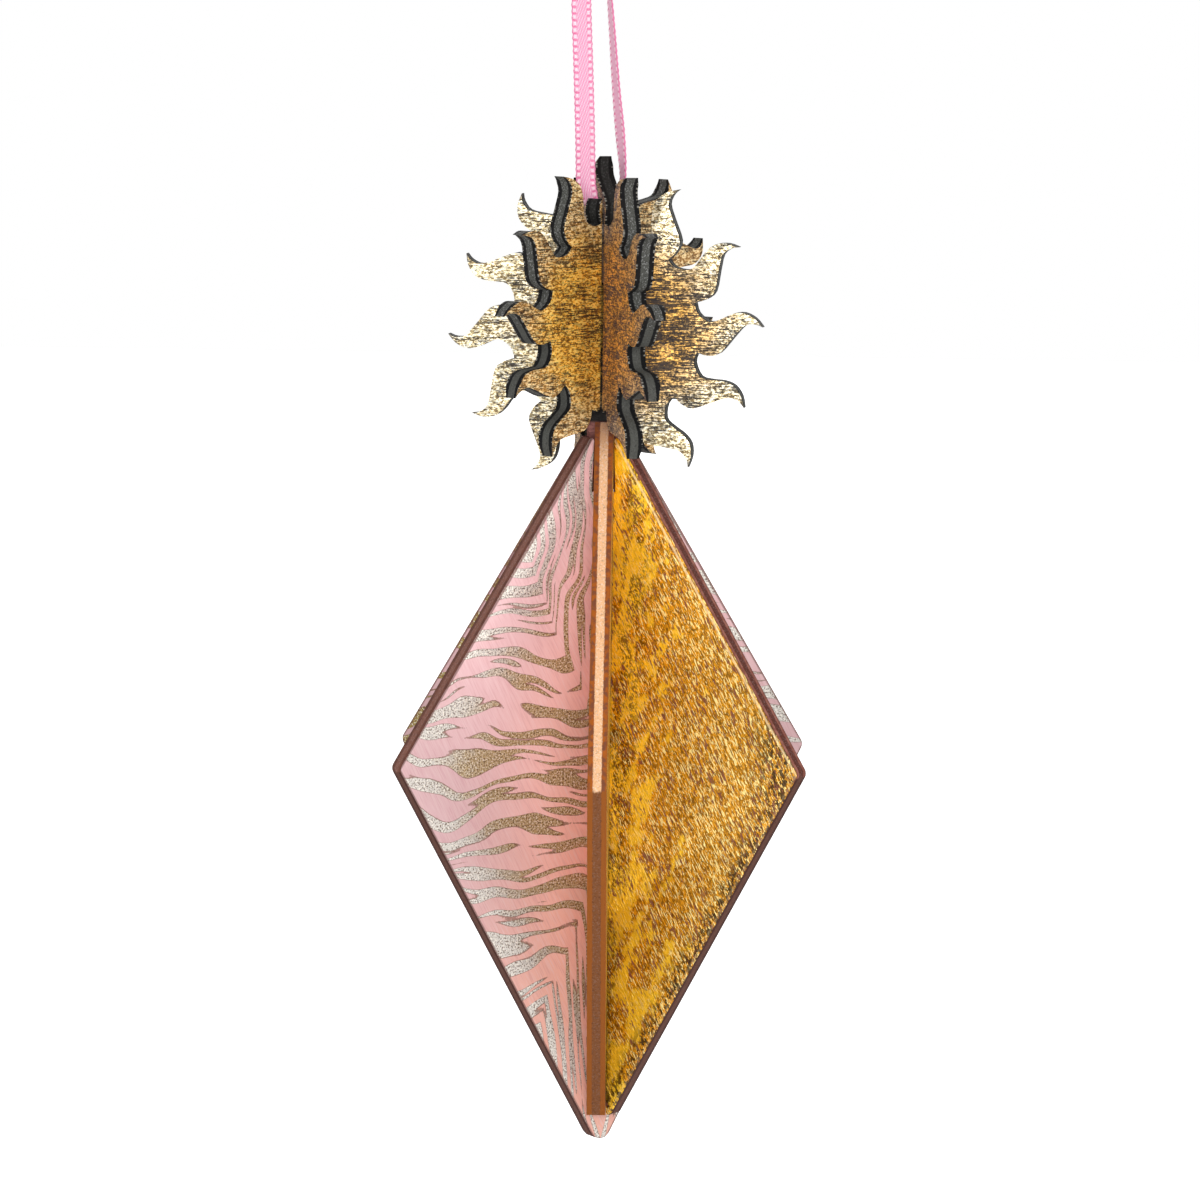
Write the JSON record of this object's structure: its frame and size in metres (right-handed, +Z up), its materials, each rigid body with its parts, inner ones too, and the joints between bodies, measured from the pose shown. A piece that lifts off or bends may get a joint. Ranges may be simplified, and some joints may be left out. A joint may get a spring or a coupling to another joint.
{
  "type": "hanging wooden bauble",
  "caption": "Flat-pack plywood bauble: crossed kite-shaped plates as a faceted body, crossed flame-rayed discs as a sun on top, hung on a narrow ribbon loop",
  "frame": {"origin": "the hang point, where a hook carries the ribbon loop just below its knot", "axes": "+Z up along the bauble's axis, -Y is the front, +X is the viewer's right"},
  "size_m": [0.061, 0.0688, 0.1892],
  "materials": {
    "body_plate_front": "laser-cut three-ply edge, dark brown, over a printed face",
    "body_plate_left": "pink print with worn metallic stripes",
    "body_plate_right": "creased gold foil, pink print on the other side",
    "sun_plate_hanger": "worn dark gold foil, charred edges",
    "sun_plate_middle": "worn dark gold foil, charred edges",
    "sun_plate_tongue": "worn pale gold foil, charred edges",
    "ribbon": "satin with woven edges"
  },
  "bodies": {
    "ribbon": {"ribbon": "ribbon", "ribbon_knot": "ribbon", "ribbon_tail_left": "ribbon", "ribbon_tail_right": "ribbon"},
    "bauble": {"body_plate_front": "body_plate_front", "body_plate_left": "body_plate_left", "body_plate_right": "body_plate_right", "sun_plate_hanger": "sun_plate_hanger", "sun_plate_middle": "sun_plate_middle", "sun_plate_tongue": "sun_plate_tongue"}
  },
  "joints": [
    {"name": "bauble_swing", "type": "hinge", "parent": "ribbon", "child": "bauble", "pos_m": [0.0026, 0, -0.042], "axis": [0.9397, 0.342, 0], "range_deg": [-11, 11]}
  ]
}
